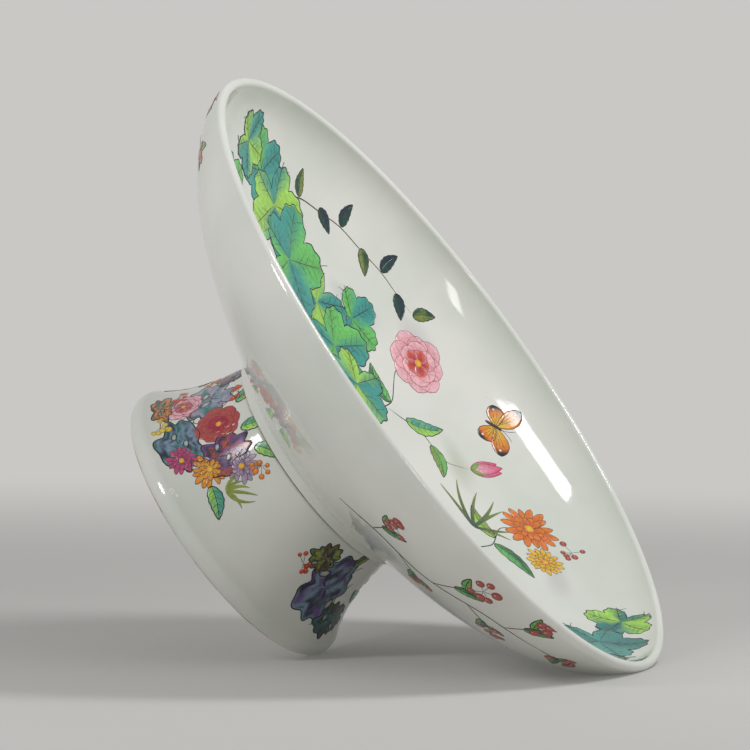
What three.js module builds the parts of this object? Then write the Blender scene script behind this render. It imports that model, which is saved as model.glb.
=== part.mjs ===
import * as THREE from "three";

// A high-footed porcelain plate. It stands upright on Z = 0 and its axis is Z. Sizes are in millimetres.

// Foot: a hollow trumpet with a rolled lower edge
const footHeight = 50; // from the table to the seam
const footRadius = 66.9; // widest part of the rolled edge
const neckRadius = 50.6; // narrowest part, at the seam
const footWall = 6.4; // wall at the neck
const rollWidth = 3.5; // from the standing ring out to the widest part
const rollHeight = 4.8; // height of the widest part above the table
const standWidth = 3.6; // bare ring that touches the table
const standBevel = 0.6; // inner edge of that ring
const rollTurn = THREE.MathUtils.degToRad(50); // how far the roll turns in above its widest part
const flareReach = 9; // how long the flare keeps the direction of the roll
const flareWaist = 3; // how far outside the neck the flare aims
const flareDrop = 22.2; // height under the seam where the flare turns into the neck

// Seam: a thin bed of slip between foot and dish
const seamThickness = 1;
const seamInset = 0.35; // how far it lies back from the neck

// Dish: a deep saucer that is thrown in one with its low ring
const rimRadius = 150.6; // widest part of the lip
const dishHeight = 69.5; // from the underside of its ring to the top of the lip
const lipThickness = 4.2;
const ringRadius = 53.4;
const ringHeight = 4.3; // from the seam to the underside of the dish
const ringWidth = 8.2;
const ringBevel = 0.8;
const baseRecess = 3.4; // how far the underside inside the ring lies above the seam
const floorThickness = 8.2;
const coveRadius = 3.4; // hollow round between ring and underside
const coveRise = 1.2;
const underReach = 42.5; // direction of the underside where it leaves the ring
const underRise = 17.3;
const wallInset = 8.8; // direction of the wall where it reaches the lip
const wallDrop = 30;
const wellRadius = 44; // flat floor of the well
const wellReach = 14; // how softly the floor turns up into the wall
const innerInset = 5; // direction of the well where it reaches the lip
const innerDrop = 30;

// Smoothness of the turned surfaces
const turns = 48;
const wallSteps = 13;
const flareSteps = 9;
const roundSteps = 6;

// Heights that follow from the sizes above
const seamTop = footHeight + seamThickness;
const lipTop = seamTop + dishHeight;
const lipRadius = lipThickness / 2;
const lipCentre = lipTop - lipRadius;
const baseHeight = seamTop + baseRecess;
const floorHeight = baseHeight + floorThickness;

const porcelain = new THREE.MeshStandardMaterial({ color: 0xdfe3da, roughness: 0.12, metalness: 0 });
const slip = new THREE.MeshStandardMaterial({ color: 0x8f7b66, roughness: 0.7, metalness: 0 });

function point(radius, height) {
  return new THREE.Vector2(radius, height);
}

function bend(from, aimOut, aimIn, to, steps) {
  return new THREE.CubicBezierCurve(from, aimOut, aimIn, to).getPoints(steps);
}

function round(centre, radiusX, radiusY, start, end) {
  return new THREE.EllipseCurve(centre.x, centre.y, radiusX, radiusY, start, end).getPoints(roundSteps);
}

// A profile of radius and height, turned about the axis of the plate
function turned(profile, material, name) {
  const geometry = new THREE.LatheGeometry(profile, turns);
  geometry.rotateX(Math.PI / 2);
  const mesh = new THREE.Mesh(geometry, material);
  mesh.name = name;
  return mesh;
}

// Closed ring: standing ring, rolled edge, flare up to the neck, flat top, and back down inside
function footProfile() {
  const rollCentre = point(footRadius - rollWidth, rollHeight);
  const roll = round(rollCentre, rollWidth, rollHeight, -Math.PI / 2, rollTurn);
  const rollEnd = roll[roll.length - 1];
  const heading = point(-rollWidth * Math.sin(rollTurn), rollHeight * Math.cos(rollTurn)).normalize();
  const flareAim = rollEnd.clone().addScaledVector(heading, flareReach);
  const waistAim = point(neckRadius + flareWaist, footHeight - flareDrop);
  const flare = bend(rollEnd, flareAim, waistAim, point(neckRadius, footHeight), flareSteps);
  const standInner = rollCentre.x - standWidth - standBevel;
  const bore = bend(
    point(neckRadius - footWall, footHeight),
    point(waistAim.x - footWall, waistAim.y),
    point(flareAim.x - footWall, flareAim.y),
    point(standInner, standBevel),
    flareSteps,
  );
  const start = point(standInner + standBevel, 0);
  return [start, ...roll, ...flare.slice(1), ...bore, start.clone()];
}

// Closed ring with square edges, face to face with the foot below and the dish above
function seamProfile() {
  const outer = neckRadius - seamInset;
  const inner = neckRadius - footWall + seamInset;
  return [
    point(inner, footHeight),
    point(outer, footHeight),
    point(outer, seamTop),
    point(inner, seamTop),
    point(inner, footHeight),
  ];
}

// From the axis out under the dish, round its ring, up the wall, over the lip and back along the well
function dishProfile() {
  const underStart = point(ringRadius + coveRadius, seamTop + ringHeight + coveRise);
  const wallEnd = point(rimRadius, lipCentre - lipRadius / 2);
  const underAim = point(underStart.x + underReach, underStart.y + underRise);
  const wallAim = point(wallEnd.x - wallInset, wallEnd.y - wallDrop);
  const lip = round(point(rimRadius - lipRadius, lipCentre), lipRadius, lipRadius, 0, Math.PI);
  const innerStart = lip[lip.length - 1];
  const wellEdge = point(wellRadius, floorHeight);
  const innerAim = point(innerStart.x - innerInset, innerStart.y - innerDrop);
  const wellAim = point(wellRadius + wellReach, floorHeight);
  return [
    point(0, baseHeight),
    point(ringRadius - ringWidth, baseHeight),
    point(ringRadius - ringWidth, seamTop),
    point(ringRadius - ringBevel, seamTop),
    point(ringRadius, seamTop + ringBevel),
    point(ringRadius, seamTop + ringHeight - coveRise),
    point(ringRadius + coveRadius / 3, seamTop + ringHeight + coveRise / 3),
    ...bend(underStart, underAim, wallAim, wallEnd, wallSteps),
    ...lip,
    ...bend(innerStart, innerAim, wellAim, wellEdge, wallSteps).slice(1),
    point(0, floorHeight),
  ];
}

const plate = new THREE.Group();
plate.add(turned(footProfile(), porcelain, "foot"));
plate.add(turned(seamProfile(), slip, "luting_seam"));
plate.add(turned(dishProfile(), porcelain, "dish"));

export default plate;
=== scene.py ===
"""A high-footed porcelain plate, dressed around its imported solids.

The dish, its foot and the seam between them are turned surfaces, worked out from profiles of radius and
height. The painting is overglaze enamel: thin raised patches and lines that lie on the glaze.
Lengths are in millimetres until a mesh is written, which is in metres.
"""

import logging
import math
from dataclasses import dataclass
from enum import Enum
from functools import cached_property

import bmesh
import bpy
import numpy as np
from mathutils import Matrix, Vector


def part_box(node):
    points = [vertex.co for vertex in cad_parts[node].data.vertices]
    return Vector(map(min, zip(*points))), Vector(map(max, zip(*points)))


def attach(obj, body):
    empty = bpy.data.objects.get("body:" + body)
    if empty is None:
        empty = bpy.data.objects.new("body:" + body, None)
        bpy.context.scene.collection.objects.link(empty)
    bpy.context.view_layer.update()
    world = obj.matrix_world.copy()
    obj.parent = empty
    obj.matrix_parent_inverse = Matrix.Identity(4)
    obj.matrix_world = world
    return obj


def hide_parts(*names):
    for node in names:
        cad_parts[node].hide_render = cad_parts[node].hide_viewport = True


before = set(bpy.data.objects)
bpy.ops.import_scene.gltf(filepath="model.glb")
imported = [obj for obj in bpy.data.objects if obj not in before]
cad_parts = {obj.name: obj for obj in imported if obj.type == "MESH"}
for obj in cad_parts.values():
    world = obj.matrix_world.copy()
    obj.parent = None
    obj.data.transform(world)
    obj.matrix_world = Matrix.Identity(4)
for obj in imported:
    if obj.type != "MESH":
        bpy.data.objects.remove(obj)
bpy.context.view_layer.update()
LOG = logging.getLogger("plate")
MM = 0.001
MERGE = 2e-7  # points closer than this, in metres, become one
BODY = "root"
TAU = 2 * math.pi


def linear(hex_colour: str) -> np.ndarray:
    """Turn an sRGB hex colour, such as "#dfe3da", into linear red, green and blue.

    Args:
        hex_colour: six hex digits after a hash.

    Returns:
        Three numbers from 0 to 1.
    """
    srgb = np.array([int(hex_colour[i : i + 2], 16) for i in (1, 3, 5)]) / 255
    return np.where(srgb <= 0.04045, srgb / 12.92, ((srgb + 0.055) / 1.055) ** 2.4)


def rgba(hex_colour: str) -> tuple[float, ...]:
    """Give a hex colour as the four numbers that a shader socket takes."""
    return (*linear(hex_colour).tolist(), 1.0)


def add_node(tree: bpy.types.NodeTree, kind: str, settings: dict | None = None,
             inputs: dict | None = None) -> bpy.types.Node:
    """Add one shader node.

    Args:
        tree: the material's or world's node tree.
        kind: the node's type name after "ShaderNode".
        settings: the node's own properties.
        inputs: a socket to link from, or a value to set, by the input's name or number.

    Returns:
        The node.
    """
    node = tree.nodes.new("ShaderNode" + kind)
    for name, value in (settings or {}).items():
        setattr(node, name, value)
    for name, value in (inputs or {}).items():
        if isinstance(value, bpy.types.NodeSocket):
            tree.links.new(value, node.inputs[name])
        else:
            node.inputs[name].default_value = value
    return node


def per_metre(size_mm: float) -> float:
    """Turn the size of one grain of a pattern into a texture scale on Object coordinates."""
    return 1 / (size_mm * MM)


def new_material(name: str) -> tuple[bpy.types.Material, bpy.types.NodeTree, bpy.types.NodeSocket]:
    """Start an empty node material.

    Args:
        name: what the finish is.

    Returns:
        The material, its node tree and its surface input.
    """
    material = bpy.data.materials.new(name)
    material.use_nodes = True
    tree = material.node_tree
    tree.nodes.clear()
    output = add_node(tree, "OutputMaterial")
    return material, tree, output.inputs["Surface"]


@dataclass(frozen=True)
class GlazedPorcelain:
    """Hard-paste porcelain under a thin clear feldspar glaze, dipped and fired.

    The glaze gives a deep even gloss over a pale body, faintly green where it runs thick, with a
    slight orange peel that softens the edges of reflections, and a few specks of iron. The tinted
    kind holds a trace of enamel: its colour is multiplied by the meshes' attribute "paint".
    """

    tinted: bool = False
    thick: str = "#dadfd6"
    thick_until: float = 0.3
    body: str = "#e8e8e2"
    body_from: float = 0.62
    cloud_mm: float = 55
    iron: str = "#8b7c66"
    iron_share: float = 0.5
    speck_mm: float = 7.5
    speck_edge: float = 0.045
    speck_core: float = 0.02
    rare_from: float = 0.86
    rare_full: float = 0.9
    wave_mm: float = 24
    wave_depth_mm: float = 0.35
    wave_share: float = 0.5
    peel_mm: float = 2.6
    peel_depth_mm: float = 0.06
    peel_share: float = 0.12
    roughness: tuple[float, float] = (0.049, 0.105)
    ior: float = 1.5

    def build(self, name: str) -> bpy.types.Material:
        """Make the material.

        Args:
            name: its name in the scene.

        Returns:
            The material.
        """
        material, tree, surface = new_material(name)
        where = add_node(tree, "TexCoord").outputs["Object"]
        cloud = add_node(tree, "TexNoise", inputs={
            "Vector": where, "Scale": per_metre(self.cloud_mm), "Detail": 3.0})
        tone = add_node(tree, "ValToRGB", inputs={"Fac": cloud.outputs["Fac"]})
        low, high = tone.color_ramp.elements
        low.position, low.color = self.thick_until, rgba(self.thick)
        high.position, high.color = self.body_from, rgba(self.body)
        cells = add_node(tree, "TexVoronoi", inputs={"Vector": where, "Scale": per_metre(self.speck_mm)})
        speck = add_node(tree, "MapRange", inputs={
            "Value": cells.outputs["Distance"], "From Min": self.speck_edge, "From Max": self.speck_core,
            "To Min": 0.0, "To Max": self.iron_share})
        rare = add_node(tree, "MapRange", inputs={
            "Value": cells.outputs["Color"], "From Min": self.rare_from, "From Max": self.rare_full})
        specks = add_node(tree, "Math", {"operation": "MULTIPLY"}, {
            0: speck.outputs["Result"], 1: rare.outputs["Result"]})
        # sockets 6 and 7 of a mix node take its two colours, and socket 2 gives the result
        colour = add_node(tree, "Mix", {"data_type": "RGBA"}, {
            0: specks.outputs["Value"], 6: tone.outputs["Color"], 7: rgba(self.iron)})
        if self.tinted:
            paint = add_node(tree, "Attribute", {"attribute_name": "paint"})
            colour = add_node(tree, "Mix", {"data_type": "RGBA", "blend_type": "MULTIPLY"}, {
                0: 1.0, 6: colour.outputs[2], 7: paint.outputs["Color"]})
        gloss = add_node(tree, "MapRange", inputs={
            "Value": cloud.outputs["Fac"], "To Min": self.roughness[0], "To Max": self.roughness[1]})
        wave = add_node(tree, "TexNoise", inputs={
            "Vector": where, "Scale": per_metre(self.wave_mm), "Detail": 1.0})
        peel = add_node(tree, "TexNoise", inputs={
            "Vector": where, "Scale": per_metre(self.peel_mm), "Detail": 1.0})
        broad = add_node(tree, "Bump", inputs={
            "Strength": self.wave_share, "Distance": self.wave_depth_mm * MM,
            "Height": wave.outputs["Fac"]})
        fine = add_node(tree, "Bump", inputs={
            "Strength": self.peel_share, "Distance": self.peel_depth_mm * MM,
            "Height": peel.outputs["Fac"], "Normal": broad.outputs["Normal"]})
        shader = add_node(tree, "BsdfPrincipled", inputs={
            "Base Color": colour.outputs[2], "Roughness": gloss.outputs["Result"],
            "IOR": self.ior, "Normal": fine.outputs["Normal"]})
        tree.links.new(shader.outputs["BSDF"], surface)
        return material


@dataclass(frozen=True)
class BareCeramic:
    """Fired clay without glaze: a wiped standing ring, or the slip of a luted seam.

    It is matt and slightly gritty, and iron in the clay burns it orange and brown in clouds.
    """

    pale: str
    burnt: str
    cloud_mm: float
    grit_mm: float = 0.7
    roughness: float = 0.75
    pale_until: float = 0.35
    burnt_from: float = 0.68
    grit_depth_mm: float = 0.1
    grit_share: float = 0.5
    ior: float = 1.5

    def build(self, name: str) -> bpy.types.Material:
        """Make the material.

        Args:
            name: its name in the scene.

        Returns:
            The material.
        """
        material, tree, surface = new_material(name)
        where = add_node(tree, "TexCoord").outputs["Object"]
        cloud = add_node(tree, "TexNoise", inputs={
            "Vector": where, "Scale": per_metre(self.cloud_mm), "Detail": 4.0})
        tone = add_node(tree, "ValToRGB", inputs={"Fac": cloud.outputs["Fac"]})
        low, high = tone.color_ramp.elements
        low.position, low.color = self.pale_until, rgba(self.pale)
        high.position, high.color = self.burnt_from, rgba(self.burnt)
        grit = add_node(tree, "TexNoise", inputs={
            "Vector": where, "Scale": per_metre(self.grit_mm), "Detail": 2.0})
        bump = add_node(tree, "Bump", inputs={
            "Strength": self.grit_share, "Distance": self.grit_depth_mm * MM,
            "Height": grit.outputs["Fac"]})
        shader = add_node(tree, "BsdfPrincipled", inputs={
            "Base Color": tone.outputs["Color"], "Roughness": self.roughness,
            "IOR": self.ior, "Normal": bump.outputs["Normal"]})
        tree.links.new(shader.outputs["BSDF"], surface)
        return material


@dataclass(frozen=True)
class OverglazeEnamel:
    """Lead-glass enamel painted over the fired glaze and fired again at a low heat.

    It keeps the brush's colour, which the meshes carry as the attribute "paint", with streaks where
    the colour pooled. It is a little less even and glossy than the glaze.
    """

    streak_mm: float = 1.6
    streak_range: tuple[float, float] = (0.3, 0.7)
    brightness: tuple[float, float] = (0.84, 1.16)
    roughness: tuple[float, float] = (0.096, 0.24)
    pool_depth_mm: float = 0.08
    pool_share: float = 0.25
    ior: float = 1.52

    def build(self, name: str) -> bpy.types.Material:
        """Make the material.

        Args:
            name: its name in the scene.

        Returns:
            The material.
        """
        material, tree, surface = new_material(name)
        where = add_node(tree, "TexCoord").outputs["Object"]
        paint = add_node(tree, "Attribute", {"attribute_name": "paint"})
        streaks = add_node(tree, "TexNoise", inputs={
            "Vector": where, "Scale": per_metre(self.streak_mm), "Detail": 3.0})
        value = add_node(tree, "MapRange", inputs={
            "Value": streaks.outputs["Fac"], "From Min": self.streak_range[0],
            "From Max": self.streak_range[1], "To Min": self.brightness[0], "To Max": self.brightness[1]})
        colour = add_node(tree, "HueSaturation", inputs={
            "Color": paint.outputs["Color"], "Value": value.outputs["Result"]})
        gloss = add_node(tree, "MapRange", inputs={
            "Value": streaks.outputs["Fac"], "To Min": self.roughness[0], "To Max": self.roughness[1]})
        bump = add_node(tree, "Bump", inputs={
            "Strength": self.pool_share, "Distance": self.pool_depth_mm * MM,
            "Height": streaks.outputs["Fac"]})
        shader = add_node(tree, "BsdfPrincipled", inputs={
            "Base Color": colour.outputs["Color"], "Roughness": gloss.outputs["Result"],
            "IOR": self.ior, "Normal": bump.outputs["Normal"]})
        tree.links.new(shader.outputs["BSDF"], surface)
        return material


@dataclass(frozen=True)
class Sizes:
    """Sizes of the plate. What the solids show is read from them, and the rest repeats their source."""

    foot_height: float
    foot_radius: float
    seam_top: float
    rim_radius: float
    lip_top: float
    neck_radius: float = 50.6
    foot_wall: float = 6.4
    roll_width: float = 3.5
    roll_height: float = 4.8
    roll_turn: float = math.radians(50)
    stand_width: float = 3.6
    stand_bevel: float = 0.6
    flare_reach: float = 9
    flare_waist: float = 3
    flare_drop: float = 22.2
    seam_inset: float = 0.35
    lip_thickness: float = 4.2
    ring_radius: float = 53.4
    ring_height: float = 4.3
    ring_width: float = 8.2
    ring_bevel: float = 0.8
    base_recess: float = 3.4
    floor_thickness: float = 8.2
    cove_radius: float = 3.4
    cove_rise: float = 1.2
    under_reach: float = 42.5
    under_rise: float = 17.3
    wall_inset: float = 8.8
    wall_drop: float = 30
    well_radius: float = 44
    well_reach: float = 14
    inner_inset: float = 5
    inner_drop: float = 30

    @classmethod
    def of_frame(cls) -> "Sizes":
        """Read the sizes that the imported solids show.

        Returns:
            All sizes, in millimetres.
        """
        foot_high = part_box("foot")[1] / MM
        dish_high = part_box("dish")[1] / MM
        return cls(
            foot_height=foot_high.z,
            foot_radius=foot_high.x,
            seam_top=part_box("dish")[0].z / MM,
            rim_radius=dish_high.x,
            lip_top=dish_high.z,
        )

    @property
    def lip_radius(self) -> float:
        """Half the lip's thickness."""
        return self.lip_thickness / 2

    @property
    def lip_centre(self) -> tuple[float, float]:
        """Centre of the lip's round, as radius and height."""
        return self.rim_radius - self.lip_radius, self.lip_top - self.lip_radius

    @property
    def roll_centre(self) -> tuple[float, float]:
        """Centre of the foot's rolled edge, as radius and height."""
        return self.foot_radius - self.roll_width, self.roll_height


def bend(start: tuple, aim_out: tuple, aim_in: tuple, end: tuple, steps: int) -> np.ndarray:
    """Points on a cubic Bezier curve: the four points weighed by (1-t)^3, 3(1-t)^2 t, 3(1-t) t^2, t^3.

    Args:
        start: where it begins.
        aim_out: the point that it leaves towards.
        aim_in: the point that it arrives from.
        end: where it ends.
        steps: number of its stretches.

    Returns:
        One row for each point.
    """
    t = np.linspace(0, 1, steps + 1)[:, None]
    a, b, c, d = (np.asarray(p, float) for p in (start, aim_out, aim_in, end))
    return (1 - t) ** 3 * a + 3 * (1 - t) ** 2 * t * b + 3 * (1 - t) * t**2 * c + t**3 * d


def arc(centre: tuple, across: float, up: float, start: float, end: float, steps: int) -> np.ndarray:
    """Points on an ellipse: centre + (across cos a, up sin a), for the angle a from start to end.

    Args:
        centre: its centre.
        across: its half width.
        up: its half height.
        start: first angle, in radians.
        end: last angle.
        steps: number of its stretches.

    Returns:
        One row for each point.
    """
    a = np.linspace(start, end, steps + 1)
    return np.stack([centre[0] + across * np.cos(a), centre[1] + up * np.sin(a)], axis=1)


def write_mesh(name: str, points_mm: np.ndarray, faces: np.ndarray, material: bpy.types.Material,
               colours: np.ndarray | None = None) -> bpy.types.Object:
    """Write a smooth mesh whose object sits at the origin.

    Args:
        name: the piece's name.
        points_mm: its points in millimetres, one row each.
        faces: four point numbers for each face.
        material: its finish.
        colours: linear red, green and blue for each point, kept as the attribute "paint".

    Returns:
        The object, linked to the scene.
    """
    mesh = bpy.data.meshes.new(name)
    mesh.from_pydata((points_mm * MM).tolist(), [], faces.tolist())
    if colours is not None:
        layer = mesh.attributes.new("paint", "FLOAT_COLOR", "POINT")
        full = np.concatenate([np.clip(colours, 0, 1), np.ones((len(colours), 1))], axis=1)
        layer.data.foreach_set("color", full.astype(np.float32).ravel())
    edit = bmesh.new()
    edit.from_mesh(mesh)
    bmesh.ops.remove_doubles(edit, verts=edit.verts, dist=MERGE)
    bmesh.ops.dissolve_degenerate(edit, edges=edit.edges, dist=MERGE)
    edit.to_mesh(mesh)
    edit.free()
    mesh.materials.append(material)
    mesh.polygons.foreach_set("use_smooth", np.ones(len(mesh.polygons), bool))
    mesh.update()
    obj = bpy.data.objects.new(name, mesh)
    bpy.context.scene.collection.objects.link(obj)
    return obj


def grid_faces(rows: int, columns: int, closed: bool = False) -> np.ndarray:
    """Quads of a grid of points that is numbered row by row.

    Args:
        rows: number of rows.
        columns: number of columns.
        closed: whether the last column joins the first.

    Returns:
        Four point numbers for each face, counterclockwise where rows run up and columns to the right.
    """
    row = np.arange(rows - 1)[:, None] * columns
    column = np.arange(columns if closed else columns - 1)[None, :]
    right = (column + 1) % columns
    quads = np.stack([row + column, row + right, row + columns + right, row + columns + column], axis=-1)
    return quads.reshape(-1, 4)


@dataclass(frozen=True)
class Turned:
    """A surface of revolution: a profile of radius and height that is carried round the axis."""

    profile: np.ndarray
    turns: int

    def points(self) -> np.ndarray:
        """(radius cos a, radius sin a, height) for each profile point and each angle a.

        Returns:
            One row for each point, profile point by profile point.
        """
        a = np.arange(self.turns) * TAU / self.turns
        radius, height = self.profile[:, 0, None], self.profile[:, 1, None]
        grid = np.stack([radius * np.cos(a), radius * np.sin(a), height + 0 * a], axis=-1)
        return grid.reshape(-1, 3)

    def build(self, name: str, material: bpy.types.Material) -> bpy.types.Object:
        """Write the surface as a closed mesh, whose poles or ends close by merging."""
        return write_mesh(name, self.points(), grid_faces(len(self.profile), self.turns, True), material)


@dataclass(frozen=True)
class Skin:
    """A painted side of a turned surface: its profile, and whether the air is on its left."""

    profile: np.ndarray
    air_left: bool

    @cached_property
    def length(self) -> np.ndarray:
        """How far each profile point lies along the profile."""
        return np.r_[0, np.cumsum(np.hypot(*np.diff(self.profile, axis=0).T))]

    def raised(self, along: np.ndarray, angle: np.ndarray, lift: np.ndarray) -> np.ndarray:
        """Points at a distance along the profile and an angle round the axis, lifted off the surface.

        Args:
            along: distance along the profile.
            angle: angle round the axis, in radians.
            lift: height over the surface, along its normal.

        Returns:
            One point for each, where the normal is the profile's direction turned by a right angle.
        """
        slope = np.gradient(self.profile, self.length, axis=0)
        side = -1 if self.air_left else 1
        radius = np.interp(along, self.length, self.profile[:, 0])
        height = np.interp(along, self.length, self.profile[:, 1])
        out = side * np.interp(along, self.length, slope[:, 1])
        up = -side * np.interp(along, self.length, slope[:, 0])
        size = np.hypot(out, up)
        radius = radius + lift * out / size
        return np.stack([radius * np.cos(angle), radius * np.sin(angle), height + lift * up / size], -1)


@dataclass(frozen=True)
class WellSkin(Skin):
    """The inside of the dish, painted in plan: x and y lie flat over it, measured from its centre."""

    def place(self, points: np.ndarray, lift: np.ndarray) -> np.ndarray:
        """The distance from the centre is kept along the profile, and the angle as it is."""
        along = np.hypot(points[..., 0], points[..., 1])
        return self.raised(along, np.arctan2(points[..., 1], points[..., 0]), lift)


@dataclass(frozen=True)
class BandSkin(Skin):
    """The outside of the foot or dish, painted as a band: x runs round it and y up the profile."""

    reference: float

    def place(self, points: np.ndarray, lift: np.ndarray) -> np.ndarray:
        """The angle is x over the reference radius, counted against the clock from the X axis."""
        return self.raised(points[..., 1], points[..., 0] / self.reference, lift)


SUNK = -0.03  # how deep edges lie in the glaze, so that no gap shows under them
RELIEF = 0.75  # share of a motif's stated height by which its enamel stands up
STEEP_SIDE = 0.95  # share of a blade's half width over which its back is flat
STEEP_RIM = 0.97  # the same for the radius of a patch
OUTLINE_RISE = 0.05  # how far outlines and side veins stand up from their motif
MIDRIB_RISE = 0.06
MIDRIB, SIDE_VEIN, HAIR = 0.5, 0.32, 0.25  # widths of brush lines
BLADE_GRID, PETAL_GRID, LEAF_GRID = (26, 11), (14, 9), (30, 13)  # points along and across
PAPER = linear("#e0e4dc")  # the glaze's own white, for dots that are left bare


def mix(a: np.ndarray, b: np.ndarray, share: np.ndarray | float) -> np.ndarray:
    """Blend colour a into colour b by a share from 0 to 1."""
    share = np.clip(np.asarray(share, float), 0, 1)[..., None]
    return a * (1 - share) + b * share


def edged(count: int) -> np.ndarray:
    """Even steps from -1 to 1, whose outermost inner ones lie close to the ends, so that edges are steep."""
    return np.r_[-1, np.linspace(-STEEP_SIDE, STEEP_SIDE, count - 2), 1]


def rings(count: int) -> np.ndarray:
    """Even steps from 0 to nearly 1, then 1, as a column: the rings of a patch with a steep rim."""
    return np.r_[np.linspace(0, STEEP_RIM, count - 1), 1][:, None]


def spokes(count: int) -> np.ndarray:
    """Even angles once round, as a row: the spokes of a patch."""
    return np.arange(count)[None, :] * TAU / count


def polar(reach: np.ndarray, half_sizes: tuple[float, float]) -> np.ndarray:
    """Points on rings and spokes: (reach w cos a, reach h sin a), where w and h are the half sizes."""
    a = spokes(reach.shape[1])
    return np.stack([reach * half_sizes[0] * np.cos(a), reach * half_sizes[1] * np.sin(a)], axis=-1)


def half_width(t: np.ndarray, width: float, ends: tuple[float, float]) -> np.ndarray:
    """Half the width of a petal or leaf along it: width/2 sin(pi t^a)^b, where the ends are a and b."""
    return width / 2 * np.sin(np.pi * t ** ends[0]).clip(0) ** ends[1]


def smooth_noise(size: tuple[int, int], cells: tuple[int, int], rng: np.random.Generator) -> np.ndarray:
    """Soft random values from 0 to 1: a coarse random grid, blended between its points by a cosine.

    Args:
        size: rows and columns of the result.
        cells: rows and columns of the coarse grid's cells.
        rng: where the random numbers come from.

    Returns:
        One value for each row and column.
    """
    coarse = rng.random((cells[0] + 1, cells[1] + 1))
    r = np.linspace(0, cells[0] - 1e-6, size[0])
    c = np.linspace(0, cells[1] - 1e-6, size[1])
    i, j = r.astype(int), c.astype(int)
    fr = (1 - np.cos(np.pi * (r - i))) / 2
    fc = (1 - np.cos(np.pi * (c - j))) / 2
    top = coarse[i][:, j] * (1 - fc) + coarse[i][:, j + 1] * fc
    low = coarse[i + 1][:, j] * (1 - fc) + coarse[i + 1][:, j + 1] * fc
    return top * (1 - fr[:, None]) + low * fr[:, None]


class Ink(Enum):
    """Enamel colours of the painter's box."""

    BLACK = "#20241f"
    BROWN = "#5a4431"
    LEAF = "#6cc765"
    SPRING = "#a6dc5c"
    TURQUOISE = "#3c9d95"
    TEAL = "#2c7f7c"
    DEEP = "#1e4d40"
    OLIVE = "#8d9a45"
    ROSE = "#d9497f"
    BLUSH = "#f3c3cf"
    CRIMSON = "#a82442"
    CORAL = "#d8512b"
    ORANGE = "#e8862f"
    YELLOW = "#ecc83e"
    PURPLE = "#6d4a8c"
    MAUVE = "#b9a6bd"
    SLATE = "#7d97ad"
    NIGHT = "#232a45"
    BRICK = "#b5564c"

    @property
    def linear(self) -> np.ndarray:
        """The colour as linear red, green and blue."""
        return linear(self.value)


@dataclass(frozen=True)
class Spot:
    """Where a motif goes on its skin: a place in millimetres and a turn in degrees."""

    x: float
    y: float
    turn: float = 0

    def put(self, points: np.ndarray) -> np.ndarray:
        """Turn and move a motif's points.

        Args:
            points: points in the motif's own plane.

        Returns:
            The points in the painting's plane.
        """
        a = math.radians(self.turn)
        rotation = np.array([[math.cos(a), math.sin(a)], [-math.sin(a), math.cos(a)]])
        return points @ rotation + np.array([self.x, self.y])

    def at(self, x: float, y: float, turn: float = 0) -> "Spot":
        """A spot inside this one, for a part of the motif."""
        place = self.put(np.array([x, y], float))
        return Spot(place[0], place[1], self.turn + turn)


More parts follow.
